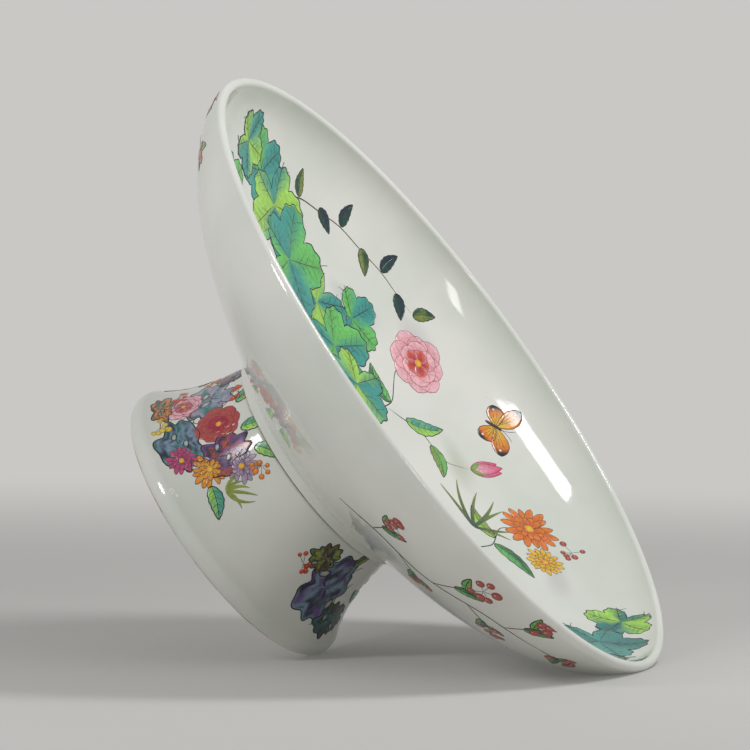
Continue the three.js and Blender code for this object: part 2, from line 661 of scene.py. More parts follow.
class Painting:
    """Enamel on one skin: patches and lines are collected as arrays, then written as one mesh."""

    def __init__(self, skin: WellSkin | BandSkin, seed: int) -> None:
        """Start an empty painting.

        Args:
            skin: the surface that it lies on.
            seed: start of its random draws.
        """
        self.skin = skin
        self.rng = np.random.default_rng(seed)
        self.points: list[np.ndarray] = []
        self.colours: list[np.ndarray] = []
        self.faces: list[np.ndarray] = []
        self.count = 0

    def sheet(self, flat: np.ndarray, lift: np.ndarray, colours: np.ndarray, closed: bool = False) -> None:
        """Lay one grid of points on the skin.

        Args:
            flat: rows by columns by 2, in the painting's plane.
            lift: height over the glaze, one for each point or each column.
            colours: linear colours, one for each point or one for all.
            closed: whether the last column joins the first.
        """
        rows, columns = flat.shape[:2]
        placed = self.skin.place(flat, np.where(lift > 0, RELIEF * lift, lift)).reshape(-1, 3)
        faces = self.facing_air(placed, grid_faces(rows, columns, closed))
        self.points.append(placed)
        self.colours.append(np.broadcast_to(colours, (rows, columns, 3)).reshape(-1, 3))
        self.faces.append(faces + self.count)
        self.count += rows * columns

    def facing_air(self, points: np.ndarray, faces: np.ndarray) -> np.ndarray:
        """Turn a sheet's faces over where most of them face into the clay.

        Args:
            points: its points, one row each.
            faces: its faces, one row each.

        Returns:
            The faces, with all of them turned over or none.
        """
        a, b, c, d = (points[faces[:, corner]] for corner in range(4))
        normal = np.cross(c - a, d - b)
        air = self.outward(points[faces].mean(axis=1))
        return faces[:, ::-1] if (normal * air).sum() < 0 else faces

    def outward(self, middle: np.ndarray) -> np.ndarray:
        """Rough direction of the air: out and down on the outside, and in and up in the well.

        Args:
            middle: the middle of each face.

        Returns:
            One direction for each, of any length.
        """
        down, over = 40.0, 60
        ring = middle * (1, 1, 0)
        if self.skin.air_left:
            return -ring + np.array([0, 0, 1.0]) * (np.linalg.norm(ring, axis=1).max() + over)
        return ring - np.array([0, 0, down])

    def line(self, path: np.ndarray, width: np.ndarray | float, ink: Ink, lift: float,
             taper: bool = True) -> None:
        """Draw one brush line: a strip along the path that stands up from the glaze.

        Args:
            path: points in the painting's plane.
            width: full width, one number or one for each point.
            ink: its colour.
            lift: height of its back.
            taper: whether both ends run thin.
        """
        back, thin_end, taper_rate = 0.55, 0.25, 7
        steps = np.gradient(path, axis=0)
        size = np.maximum(np.hypot(steps[:, 0], steps[:, 1]), 1e-6)
        side = np.stack([-steps[:, 1], steps[:, 0]], axis=1) / size[:, None]
        half = np.ones(len(path)) * width / 2
        if taper:
            t = np.linspace(0, 1, len(path))
            half *= np.clip(np.minimum(t, 1 - t) * taper_rate, thin_end, 1)
        across = np.array([-1.0, -back, back, 1.0])
        flat = path[:, None, :] + across[None, :, None] * (half[:, None] * side)[:, None, :]
        self.sheet(flat, np.where(np.abs(across) < 1, lift, SUNK), ink.linear)

    def blade(self, spot: Spot, length: float, width: float, colours: np.ndarray, sway: float, lift: float,
              ends: tuple[float, float], wave: float = 0, outline: tuple[Ink, float] | None = None) -> None:
        """Lay a petal or leaf: x runs along it, and y is 4 sway t (1-t) and a share of its half width.

        Args:
            spot: where its foot is, and the way it points.
            length: from foot to tip.
            width: widest part.
            colours: points along it by points across it by 3.
            sway: how far its middle bends aside.
            lift: height of its back.
            ends: the two powers of half_width, which move and round the widest part.
            wave: depth of the waves in its edge, as a share of the width.
            outline: colour and width of a line round it.
        """
        least_half, waves, end_rate = 0.08, 31, 25
        t = np.linspace(0.0, 1, colours.shape[0])
        v = edged(colours.shape[1])
        half = half_width(t, width, ends) * (1 + wave * np.sin(t * waves)) + least_half
        x = t[:, None] * length + 0 * v
        y = sway * 4 * (t * (1 - t))[:, None] + half[:, None] * v
        flat = spot.put(np.stack([x, y], axis=-1))
        crown = (np.abs(v) < 1)[None, :] * np.minimum(1, np.minimum(t, 1 - t) * end_rate)[:, None]
        self.sheet(flat, SUNK + (lift - SUNK) * crown, colours)
        if outline is not None:
            edge = np.concatenate([flat[:, 0], flat[::-1, -1], flat[:2, 0]])
            self.line(edge, outline[1], outline[0], lift + OUTLINE_RISE, taper=False)

    def blade_tones(self, foot: Ink, tip: Ink, edge: Ink, edge_share: float = 0.5, streaks: float = 0.25,
                    size: tuple[int, int] = BLADE_GRID) -> np.ndarray:
        """Colours for a blade.

        Args:
            foot: colour at its foot.
            tip: colour at its tip.
            edge: colour towards both its edges.
            edge_share: how much of that there is at the edge.
            streaks: how far soft streaks darken and lighten it.
            size: points along and across it.

        Returns:
            One linear colour for each point.
        """
        t = np.linspace(0, 1, size[0])[:, None] + np.zeros((1, size[1]))
        v = np.abs(edged(size[1]))[None, :] + 0 * t
        tone = mix(mix(foot.linear, tip.linear, t), edge.linear, v**2 * edge_share)
        return tone * (1 - streaks + 2 * streaks * smooth_noise(size, (3, 7), self.rng))[..., None]

    def patch(self, spot: Spot, reach: np.ndarray, half_sizes: tuple[float, float], colours: np.ndarray,
              lift: float, outline: float = 0, outline_rise: float = OUTLINE_RISE) -> None:
        """Lay a round patch on rings and spokes, whose rim alone lies in the glaze.

        Args:
            spot: its middle.
            reach: rings by spokes, how far out each point lies as a share of the half sizes.
            half_sizes: half its width and height.
            colours: rings by spokes by 3, linear.
            lift: height of its back.
            outline: width of a black line round it.
            outline_rise: height of that line over its back.
        """
        flat = polar(reach, half_sizes)
        back = rings(len(reach)) < 1
        self.sheet(spot.put(flat), SUNK + (lift - SUNK) * (back + np.zeros(reach.shape)), colours, True)
        if outline:
            edge = np.concatenate([flat[-1], flat[-1, :2]])
            self.line(spot.put(edge), outline, Ink.BLACK, lift + outline_rise, taper=False)

    def mesh(self, name: str, material: bpy.types.Material) -> bpy.types.Object:
        """Write all that was painted as one piece."""
        return write_mesh(name, np.concatenate(self.points), np.concatenate(self.faces), material,
                          np.concatenate(self.colours))


class FlowerPainter(Painting):
    """Paints the common motifs of flowers, leaves, berries, butterflies and garden rocks.

    Sizes inside a motif are shares of its own length, span or radius, as a painter keeps them by eye.
    """

    def leaf(self, spot: Spot, length: float, width: float, warm: Ink, cool: Ink, sway: float, veins: int,
             lift: float = 0.1) -> None:
        """A pointed leaf with a dark outline, a midrib and side veins; one half is cooler in colour.

        Args:
            spot: where its foot is, and the way it points.
            length: from foot to tip.
            width: widest part.
            warm: colour of one half.
            cool: colour of the other.
            sway: how far its middle bends aside.
            veins: number of side veins in each half.
            lift: height of its back.
        """
        ends = (0.72, 0.8)
        t = np.linspace(0, 1, LEAF_GRID[0])[:, None] + np.zeros((1, LEAF_GRID[1]))
        v = edged(LEAF_GRID[1])[None, :] + 0 * t
        patches = smooth_noise(LEAF_GRID, (4, 4), self.rng)
        tone = mix(warm.linear, cool.linear, 0.25 + 0.55 * (v > 0) + 0.7 * (patches - 0.5) + 0.2 * (t - 0.5))
        furrows = np.abs(np.sin((t - 0.35 * np.abs(v)) * math.pi * (veins + 1)))
        tone = tone * (0.78 + 0.3 * furrows)[..., None]
        self.blade(spot, length, width, tone, sway, lift, ends, 0.05, (Ink.BLACK, 0.55))
        s = np.linspace(0, 0.96, 22)
        midrib = np.stack([s * length, sway * 4 * s * (1 - s)], axis=1)
        self.line(spot.put(midrib), MIDRIB, Ink.BLACK, lift + MIDRIB_RISE)
        s = np.linspace(0, 0.8, 9)
        for k in range(veins):
            along = (k + 0.7) / (veins + 0.9) + 0.13 * s
            half = half_width(along.clip(0, 1), width, ends)
            for side in (-1, 1):
                vein = np.stack([along * length, sway * 4 * along * (1 - along) + side * s * half], axis=1)
                self.line(spot.put(vein), SIDE_VEIN, Ink.DEEP, lift + OUTLINE_RISE)

    def palmate(self, spot: Spot, radius: float, warm: Ink, cool: Ink, lift: float) -> None:
        """A broad leaf with five lobes: its radius swells towards each, and its sectors change colour.

        Args:
            spot: its middle, and the way its stalk's notch points.
            radius: from its middle to the tip of a lobe.
            warm: one colour.
            cool: the other.
            lift: height of its back.
        """
        lobes, size = 5, (14, 120)
        rho, a = rings(size[0]), spokes(size[1])
        notch = 0.5 * (1 + np.cos(a)) ** 6 / 64
        reach = 0.66 + 0.34 * np.abs(np.cos(lobes * (a - math.pi) / 2)) ** 0.7 - 0.75 * notch
        reach = rho * (reach * (1 + 0.03 * np.sin(a * 23)))
        patches = smooth_noise(size, (3, 9), self.rng) * (1 - 0.5 * (1 + np.cos(a)) / 2)
        sector = 0.5 + 0.5 * np.cos(a * 2 + self.rng.uniform(0, TAU))
        tone = mix(warm.linear, cool.linear, 1.4 * sector - 0.5 + 0.7 * patches)
        fold = np.abs(np.sin(lobes * (a - math.pi) / 2)) ** 0.5
        tone = tone * (0.72 + 0.34 * fold * rho + 0.12 * (1 - rho))[..., None]
        self.patch(spot, reach, (radius, radius), tone, lift, 0.6)
        s, q = np.linspace(0.02, 0.9, 12), np.linspace(0, 0.26, 7)
        for angle in math.pi + TAU * np.arange(lobes) / lobes:
            midrib = np.stack([s * radius * math.cos(angle), s * radius * math.sin(angle)], axis=1)
            self.line(spot.put(midrib), MIDRIB, Ink.BLACK, lift + MIDRIB_RISE)
            for side in (-1, 1):
                bent = angle + side * q * 1.2
                for start in (0.3, 0.5, 0.68):
                    out = start + q * 0.75
                    vein = np.stack([out * radius * np.cos(bent), out * radius * np.sin(bent)], axis=1)
                    self.line(spot.put(vein), SIDE_VEIN, Ink.DEEP, lift + OUTLINE_RISE)

    def stem(self, points: list[tuple[float, float]] | np.ndarray, width: float, ink: Ink,
             spot: Spot = Spot(0, 0), lift: float = 0.14) -> None:
        """A stalk or twig through a few points, whose corners are smoothed by a bell-shaped mean.

        Args:
            points: points on its way.
            width: at its foot; it thins to less than half of that.
            ink: its colour.
            spot: where its first point lies, where they are a motif's own.
            lift: height of its back.
        """
        steps, bell = 12, 11
        knots = np.array(points, float)
        t = np.linspace(0, len(knots) - 1, steps * len(knots))
        base = np.stack([np.interp(t, np.arange(len(knots)), knots[:, i]) for i in (0, 1)], axis=1)
        kernel = np.hanning(bell + 2)[1:-1]
        kernel = kernel / kernel.sum()
        padded = np.concatenate([np.repeat(base[:1], bell // 2, 0), base, np.repeat(base[-1:], bell // 2, 0)])
        path = np.stack([np.convolve(padded[:, i], kernel, "valid") for i in (0, 1)], axis=1)
        self.line(spot.put(path), width * np.linspace(1, 0.45, len(path)), ink, lift)

    def disc(self, spot: Spot, radius: float, centre: np.ndarray, rim: np.ndarray, lift: float,
             outline: float = 0, squash: float = 1) -> None:
        """A round or oval dab, whose colour runs from its centre to its rim.

        Args:
            spot: its middle.
            radius: half its width.
            centre: linear colour of its centre.
            rim: linear colour of its rim.
            lift: height of its back.
            outline: width of a black line round it.
            squash: its height as a share of its width.
        """
        rho = rings(6) + 0 * spokes(24)
        self.patch(spot, rho, (radius, radius * squash), mix(centre, rim, rho**1.5), lift, outline, 0.04)

    def petal_ring(self, spot: Spot, count: int, length: float, width: float, inks: tuple[Ink, Ink, Ink],
                   lift: float, start: float = 0, inner: float = 0, line: Ink = Ink.CRIMSON) -> None:
        """A ring of petals that point outwards, each a little over the one before.

        Args:
            spot: its middle.
            count: number of petals.
            length: of a petal.
            width: of a petal.
            inks: colours of a petal's foot, tip and edge.
            lift: height of the first petal.
            start: angle of the first petal.
            inner: how far the petals' feet lie from the middle.
            line: colour of their outlines.
        """
        for k in range(count):
            turn = start + 360 * k / count + self.rng.uniform(-5, 5)
            grow = self.rng.uniform(0.88, 1.1)
            petal = spot.at(inner * math.cos(math.radians(turn)), inner * math.sin(math.radians(turn)), turn)
            tones = self.blade_tones(*inks, 0.6, 0.14, PETAL_GRID)
            self.blade(petal, length * grow, width * grow, tones, self.rng.uniform(-0.6, 0.6),
                       lift + 0.004 * k, (1.25, 0.55), 0.03, (line, 0.28))

    def peony(self, spot: Spot, radius: float, deep: Ink = Ink.ROSE, pale: Ink = Ink.BLUSH) -> None:
        """A full bloom: three rings of round petals, darker at their feet, and a yellow heart.

        Args:
            spot: its middle.
            radius: of its outer ring.
            deep: colour of its feet and heart.
            pale: colour of its outer petals.
        """
        self.petal_ring(spot, 8, radius, radius * 0.85, (deep, pale, pale), 0.10)
        self.petal_ring(spot, 6, radius * 0.72, radius * 0.7, (deep, pale, pale), 0.17, 20)
        self.petal_ring(spot, 5, radius * 0.46, radius * 0.5, (Ink.CRIMSON, deep, pale), 0.24, 50)
        self.disc(spot, radius * 0.13, Ink.YELLOW.linear, Ink.ORANGE.linear, 0.36)

    def daisy(self, spot: Spot, radius: float, foot: Ink, tip: Ink) -> None:
        """A chrysanthemum: two rings of narrow petals round a yellow heart.

        Args:
            spot: its middle.
            radius: of its outer ring.
            foot: colour of its petals' feet.
            tip: colour of their tips.
        """
        inks = (foot, tip, tip)
        self.petal_ring(spot, 15, radius, radius * 0.3, inks, 0.10, 0, radius * 0.1, Ink.BROWN)
        self.petal_ring(spot, 11, radius * 0.65, radius * 0.27, inks, 0.18, 12, 0, Ink.BROWN)
        self.disc(spot, radius * 0.2, Ink.YELLOW.linear, Ink.ORANGE.linear, 0.28)

    def bud(self, spot: Spot, length: float) -> None:
        """A closed pink bud: three pointed petals over each other and two sepals.

        Args:
            spot: where its foot is, and the way it points.
            length: from foot to tip.
        """
        pink = self.blade_tones(Ink.BLUSH, Ink.ROSE, Ink.CRIMSON, 0.5, 0.15)
        for turn, share, lift in ((9, 0.9, 0.1), (-9, 0.92, 0.14), (0, 1.0, 0.18)):
            self.blade(spot.at(0, 0, turn), length * share, length * 0.34, pink, 0, lift, (0.8, 0.85), 0,
                       (Ink.CRIMSON, 0.28))
        green = self.blade_tones(Ink.OLIVE, Ink.LEAF, Ink.DEEP)
        for turn in (-28, 28):
            self.blade(spot.at(0, 0, turn), length * 0.42, length * 0.12, green, 0, 0.22, (0.8, 0.8))

    def butterfly(self, spot: Spot, span: float) -> None:
        """Four wings with dark tips and pale spots, a body and two feelers.

        Args:
            spot: its middle, and the way its head points.
            span: of its wings.
        """
        dark = ((np.linspace(0, 1, BLADE_GRID[0])[:, None] - 0.72) * 6).clip(0, 1) + np.zeros(BLADE_GRID)
        for side in (-1, 1):
            for turn, share, wide in ((62, 0.56, 0.3), (118, 0.4, 0.3)):
                tones = self.blade_tones(Ink.YELLOW, Ink.CORAL, Ink.CORAL, 0.4, 0.12)
                wing = spot.at(0, 0, side * turn)
                self.blade(wing, span * share, span * wide, mix(tones, Ink.BLACK.linear, dark),
                           side * -span * 0.03, 0.1, (1.35, 0.62), 0.02, (Ink.BLACK, 0.4))
                for q in (-0.2, 0.05, 0.3):
                    vein = np.stack([np.linspace(0.1, 0.75, 8) * span * share,
                                     q * span * wide * np.linspace(0.1, 1, 8)], axis=1)
                    self.line(wing.put(vein), HAIR, Ink.BLACK, 0.15)
                self.disc(wing.at(span * share * 0.8, 0), span * 0.022, PAPER, PAPER, 0.17)
            feeler = np.stack([np.linspace(0.08, 0.34, 12) * span,
                               side * span * 0.12 * np.linspace(0, 1, 12) ** 2], axis=1)
            self.line(spot.put(feeler), 0.3, Ink.BLACK, 0.12)
        body = self.blade_tones(Ink.BROWN, Ink.BLACK, Ink.BLACK)
        self.blade(spot.at(-span * 0.2, 0), span * 0.32, span * 0.055, body, 0, 0.24, (0.9, 0.5))

    def berries(self, spot: Spot, count: int, spread: float, radius: float, ink: Ink) -> None:
        """A loose bunch of round berries on hair-thin stalks, each with a pale glint.

        Args:
            spot: where their stalks meet.
            count: number of berries.
            spread: how far out they reach.
            radius: of a berry.
            ink: their colour.
        """
        for _ in range(count):
            angle = self.rng.uniform(0, TAU)
            reach = spread * math.sqrt(self.rng.uniform(0.05, 1))
            x, y = reach * math.cos(angle), reach * math.sin(angle) * 0.8
            self.line(spot.put(np.linspace([0, 0], [x, y], 5)), HAIR, Ink.BROWN, 0.1)
            self.disc(spot.at(x, y), radius * self.rng.uniform(0.8, 1.15), ink.linear * 1.15,
                      ink.linear * 0.62, 0.22)
            self.disc(spot.at(x - radius * 0.25, y + radius * 0.3), radius * 0.2, PAPER, ink.linear, 0.25)

    def grass(self, spot: Spot, count: int, length: float, width: float, ink: Ink = Ink.DEEP,
              fan: float = 60) -> None:
        """A tuft of long thin blades that fan out from one foot.

        Args:
            spot: their foot, and the way the middle one points.
            count: number of blades.
            length: of the longest.
            width: of a blade.
            ink: their colour at foot and edge.
            fan: angle to either side that they spread over, in degrees.
        """
        for k in range(count):
            turn = np.interp(k, [0, count - 1], [-fan, fan]) + self.rng.uniform(-6, 6)
            reach = length * self.rng.uniform(0.6, 1)
            tones = self.blade_tones(ink, Ink.OLIVE, ink, 0.3)
            self.blade(spot.at(0, 0, turn), reach, width, tones, self.rng.uniform(-2, 2), 0.1 + 0.01 * k,
                       (0.6, 0.8))

    def rock(self, spot: Spot, width: float, height: float, inks: tuple[Ink, Ink, Ink], holes: int,
             lift: float = 0.1) -> None:
        """A weathered garden rock: a ragged outline, patches of colour, dark clefts and pale holes.

        Args:
            spot: its middle.
            width: across.
            height: up.
            inks: its ground, its broad patches and its small patches.
            holes: number of holes.
            lift: height of its back.
        """
        size, seam = (16, 90), 8
        ragged = sum(self.rng.uniform(0.03, 0.1) * np.cos(k * spokes(size[1]) + self.rng.uniform(0, TAU))
                     for k in (2, 3, 5, 7, 11))
        broad = smooth_noise(size, (5, 13), self.rng)
        small = smooth_noise(size, (7, 19), self.rng)
        first, last = broad[:, :1], broad[:, -seam - 1 : -seam]
        broad[:, -seam:] = first + (last - first) * np.linspace(1, 0, seam)
        tone = mix(inks[0].linear, inks[1].linear, (broad - 0.3) * 2.2)
        tone = mix(tone, inks[2].linear, (small - 0.55) * 3)
        tone = mix(tone, Ink.BLACK.linear, (0.34 - small) * 3)
        self.patch(spot, rings(size[0]) * (0.85 + ragged), (width / 2, height / 2), tone, lift, 0.7)
        for _ in range(holes):
            x, y = self.rng.uniform(-0.28, 0.28, 2) * (width, height)
            self.disc(spot.at(x, y, self.rng.uniform(0, 180)), min(width, height) * 0.09, PAPER * 0.75,
                      inks[0].linear * 0.6, lift + OUTLINE_RISE, 0.5, 0.6)
        s = np.linspace(0, 1, 9)
        for _ in range(holes * 3):
            x, y = self.rng.uniform(-0.36, 0.36, 2) * (width, height)
            cleft = np.stack([x + s * width * 0.2, y + height * 0.12 * np.sin(s * 3 + x)], axis=1)
            self.line(spot.put(cleft), 0.45, Ink.BLACK, lift + OUTLINE_RISE)

    def wash(self, spot: Spot, radius: float, ink: Ink) -> None:
        """A soft cloud of thin colour over the glaze, which fades out to white, no tint, at its rim.

        Args:
            spot: its middle.
            radius: half its width.
            ink: its colour.
        """
        strength, squash, lift = 0.3, 0.5, 0.07
        rho, a = np.linspace(0, 1, 14)[:, None], spokes(64)
        reach = rho * (0.8 + 0.12 * np.cos(2 * a + self.rng.uniform(0, TAU)) + 0.08 * np.cos(3 * a))
        tone = mix(np.ones(3), ink.linear, strength * (1 - rho**2) ** 2 + 0 * a)
        flat = spot.put(polar(reach, (radius, radius * squash)))
        self.sheet(flat, SUNK + (lift + 0 * a) * (1 - rho**10), tone, True)

    def berry_twig(self, spot: Spot, length: float) -> None:
        """A dark twig with side shoots, small leaves and brick-red berries.

        Args:
            spot: where its foot is, and the way it points.
            length: from foot to tip.
        """
        bends = np.array([(0, 0), (0.22, 0.07), (0.45, 0.02), (0.7, 0.1), (1, 0.04)]) * length
        self.stem(bends, 1.3, Ink.BLACK, spot)
        shoots = ((0.2, 62, 0.2), (0.33, -48, 0.24), (0.5, 55, 0.26), (0.64, -40, 0.22), (0.8, 50, 0.18),
                  (0.97, -20, 0.14))
        for share, turn, reach in shoots:
            x = share * length
            shoot = spot.at(x, float(np.interp(x, bends[:, 0], bends[:, 1])), turn)
            end = reach * length
            self.stem([(0, 0), (end * 0.5, reach * 4), (end, 0)], 0.7, Ink.BROWN, shoot)
            self.berries(shoot.at(end, 0), 6, 6, 1.9, Ink.BRICK)
            self.leaf(shoot.at(end * 0.5, reach * 4, -35), 11, 4.2, Ink.LEAF, Ink.DEEP, 0.6, 3)
            self.leaf(shoot.at(end * 0.7, reach * 3, 40), 8, 3.2, Ink.OLIVE, Ink.LEAF, 0.4, 2)


def on_ring(distance: float, angle: float, turn: float = 0) -> Spot:
    """A spot in the well by its distance from the centre and its angle; turn 0 points outwards."""
    a = math.radians(angle)
    return Spot(distance * math.cos(a), distance * math.sin(a), angle + turn)


@dataclass
class Dish:
    """The dish: its turned body, the painting in its well and the twigs on its outer wall."""

    sizes: Sizes
    curve_steps: int = 70
    round_steps: int = 14
    fillet_steps: int = 6
    bevel_steps: int = 8
    base_points: int = 12
    floor_points: int = 20
    turns: int = 384
    cove_up: float = 1.7
    cove_in: tuple[float, float] = (1.4, 2.1)
    chamfer: float = 0.3
    twig_radius: float = 112

    @property
    def under_start(self) -> tuple[float, float]:
        """Where the underside leaves the ring's cove."""
        s = self.sizes
        return s.ring_radius + s.cove_radius, s.seam_top + s.ring_height + s.cove_rise

    @cached_property
    def wall(self) -> np.ndarray:
        """Outer wall from the ring's cove up to the lip, one Bezier curve.

        Returns:
            Radius and height of each point.
        """
        s = self.sizes
        start = self.under_start
        end = (s.rim_radius, s.lip_centre[1] - s.lip_radius / 2)
        return bend(start, (start[0] + s.under_reach, start[1] + s.under_rise),
                    (end[0] - s.wall_inset, end[1] - s.wall_drop), end, self.curve_steps)

    @cached_property
    def well(self) -> np.ndarray:
        """Inside from the axis over the flat floor and up to the lip, one line and one Bezier curve.

        Returns:
            Radius and height of each point.
        """
        s = self.sizes
        floor = s.seam_top + s.base_recess + s.floor_thickness
        end = (s.lip_centre[0] - s.lip_radius, s.lip_centre[1])
        rise = bend((s.well_radius, floor), (s.well_radius + s.well_reach, floor),
                    (end[0] - s.inner_inset, end[1] - s.inner_drop), end, self.curve_steps)
        flat = np.linspace((0, floor), (s.well_radius, floor), self.floor_points)
        return np.concatenate([flat[:-1], rise])

    def profile(self) -> np.ndarray:
        """The whole section, against the clock from the axis under the dish to the axis in the well.

        Returns:
            Radius and height of each point.
        """
        s = self.sizes
        base = s.seam_top + s.base_recess
        inner = s.ring_radius - s.ring_width
        edge = s.ring_bevel
        under = np.linspace((0, base), (inner - edge, base), self.base_points)
        fillet = arc((inner - edge, base - edge), edge, edge, math.pi / 2, 0, self.fillet_steps)
        ring = np.array([[inner, s.seam_top + self.chamfer], [inner + self.chamfer, s.seam_top]])
        bevel = arc((s.ring_radius - edge, s.seam_top + edge), edge, edge, -math.pi / 2, 0, self.bevel_steps)
        low = s.seam_top + s.ring_height - s.cove_rise
        aim_in = (s.ring_radius + self.cove_in[0], low + self.cove_in[1])
        cove = bend((s.ring_radius, low), (s.ring_radius, low + self.cove_up), aim_in, self.under_start,
                    self.round_steps)
        lip = arc(s.lip_centre, s.lip_radius, s.lip_radius, 0, math.pi, self.round_steps)
        parts = [under[:-1], fillet, ring, bevel, cove, self.wall[1:], lip, self.well[::-1][1:]]
        return np.concatenate(parts)

    def build(self, glaze: bpy.types.Material, enamel: bpy.types.Material,
              tint: bpy.types.Material) -> list[bpy.types.Object]:
        """Make the body, which stands for the solid dish, and its painting.

        Args:
            glaze: finish of the body.
            enamel: finish of the painting.
            tint: finish of the thin clouds of colour.

        Returns:
            The pieces.
        """
        body = Turned(self.profile(), self.turns).build("dish_glazed", glaze)
        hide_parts("dish")
        return [body, self.paint_well(enamel), self.paint_wall(enamel), self.tint_well(tint)]

    def tint_well(self, tint: bpy.types.Material) -> bpy.types.Object:
        """Lay faint clouds of thin colour between the sprays.

        Args:
            tint: their finish.

        Returns:
            The piece.
        """
        p = FlowerPainter(WellSkin(self.well, True), 5)
        clouds = ((150, 112, 34, Ink.MAUVE), (118, 104, 26, Ink.SLATE), (100, 122, 24, Ink.MAUVE),
                  (66, 96, 24, Ink.OLIVE), (30, 124, 26, Ink.MAUVE), (8, 112, 20, Ink.SLATE),
                  (-70, 96, 34, Ink.MAUVE), (-120, 104, 30, Ink.SLATE))
        for angle, distance, radius, ink in clouds:
            p.wash(on_ring(distance, angle, 90), radius, ink)
        return p.mesh("well_tints", tint)

    def paint_well(self, enamel: bpy.types.Material) -> bpy.types.Object:
        """Paint a branch of broad leaves along the rim, and sprays and butterflies over the well.

        Args:
            enamel: the painting's finish.

        Returns:
            The piece.
        """
        p = FlowerPainter(WellSkin(self.well, True), 11)
        self.leaf_branch(p)
        self.peony_spray(p)
        self.daisy_spray(p)
        self.far_side(p)
        return p.mesh("well_painting", enamel)

    def leaf_branch(self, p: FlowerPainter) -> None:
        """Broad green and turquoise leaves along the rim, and a long shoot of dark leaves.

        Args:
            p: the painting that they go to.
        """
        p.stem([(-136, 30), (-116, 52), (-82, 54), (-46, 62), (-8, 70)], 1.6, Ink.BROWN, lift=0.06)
        p.stem([(-112, 54), (-104, 80), (-84, 104), (-56, 120), (-30, 126)], 1.0, Ink.BROWN, lift=0.06)
        leaves = ((176, 122, 40, 17, 0), (150, 72, 100, 20, 0), (117, 97, 80, 18, 0), (166, 142, 70, 16, 3),
                  (159, 131, 200, 20, 1), (153, 119, 20, 25, 2), (146, 98, 100, 27, 3), (132, 88, -30, 26, 1),
                  (121, 73, 60, 25, 2), (106, 66, 10, 21, 3))
        for k, (angle, distance, turn, radius, layer) in enumerate(leaves):
            warm = Ink.SPRING if k % 2 else Ink.LEAF
            p.palmate(on_ring(distance, angle, turn), radius, warm, Ink.TURQUOISE, 0.08 + 0.07 * layer)
        shoot = ((-105, 78, 150), (-96, 92, 10), (-84, 104, 120), (-70, 113, -20), (-56, 120, 100),
                 (-43, 123, -25), (-30, 126, 60))
        for k, (x, y, turn) in enumerate(shoot):
            dark, light = (Ink.DEEP, Ink.NIGHT) if k % 3 else (Ink.OLIVE, Ink.DEEP)
            p.leaf(Spot(x, y, turn), 13, 6.4, dark, light, 0.8, 3)

    def peony_spray(self, p: FlowerPainter) -> None:
        """A pink bloom and a bud on bent stalks in the middle of the well.

        Args:
            p: the painting that they go to.
        """
        p.stem([(-4, 62), (-2, 80), (-14, 96), (-10, 112)], 0.9, Ink.DEEP, lift=0.06)
        p.stem([(-2, 74), (16, 84), (34, 82), (44, 92)], 0.8, Ink.DEEP, lift=0.06)
        p.leaf(Spot(-3, 78, 168), 20, 8, Ink.LEAF, Ink.DEEP, 2, 5)
        p.leaf(Spot(8, 80, 52), 22, 8, Ink.SPRING, Ink.TURQUOISE, -2, 5)
        p.leaf(Spot(24, 83, -36), 18, 7, Ink.OLIVE, Ink.LEAF, 2, 4)
        p.peony(Spot(-10, 112), 16, Ink.CORAL, Ink.BLUSH)
        p.bud(Spot(44, 92, 62), 19)
        p.butterfly(Spot(36, 126, 20), 30)

    def daisy_spray(self, p: FlowerPainter) -> None:
        """Orange chrysanthemums with grass, and turquoise leaves at the rim.

        Args:
            p: the painting that they go to.
        """
        p.stem([(70, 40), (76, 56), (72, 72), (80, 84)], 0.9, Ink.DEEP, lift=0.06)
        p.grass(Spot(64, 58, 96), 7, 30, 1.9)
        p.leaf(Spot(74, 62, 152), 20, 7, Ink.OLIVE, Ink.SPRING, 2, 4)
        p.leaf(Spot(76, 58, -14), 24, 8, Ink.LEAF, Ink.DEEP, 2, 5)
        p.daisy(Spot(82, 86), 12.5, Ink.CORAL, Ink.ORANGE)
        p.daisy(Spot(98, 70), 8.5, Ink.ORANGE, Ink.YELLOW)
        p.berries(Spot(104, 88), 6, 7, 1.5, Ink.BRICK)
        leaves = ((18, 150, 60, 16), (7, 141, 120, 21), (-6, 148, 40, 21), (-18, 140, 100, 17))
        for k, (angle, distance, turn, radius) in enumerate(leaves):
            warm = Ink.SPRING if k == 0 else Ink.TURQUOISE
            p.palmate(on_ring(distance, angle, turn), radius, warm, Ink.TEAL, 0.1 + 0.07 * k)

    def far_side(self, p: FlowerPainter) -> None:
        """Peonies and a butterfly on the side that the photograph doesn't show.

        Args:
            p: the painting that they go to.
        """
        p.butterfly(on_ring(118, -62, 40), 30)
        p.stem([(-104, -70), (-76, -60), (-48, -66), (-24, -58)], 1.3, Ink.BROWN, lift=0.06)
        for x, y, turn in ((-92, -78, 200), (-66, -50, 80), (-52, -80, -70), (-30, -46, 50)):
            p.leaf(Spot(x, y, turn), 30, 14, Ink.LEAF, Ink.TURQUOISE, 3, 5)
        p.peony(Spot(-74, -66), 21)
        p.peony(Spot(-36, -64), 14, Ink.BRICK, Ink.BLUSH)
        p.bud(Spot(-110, -72, 190), 15)
        p.daisy(Spot(54, -60), 12, Ink.PURPLE, Ink.MAUVE)
        p.leaf(Spot(46, -66, 210), 18, 7, Ink.OLIVE, Ink.SPRING, 2, 4)

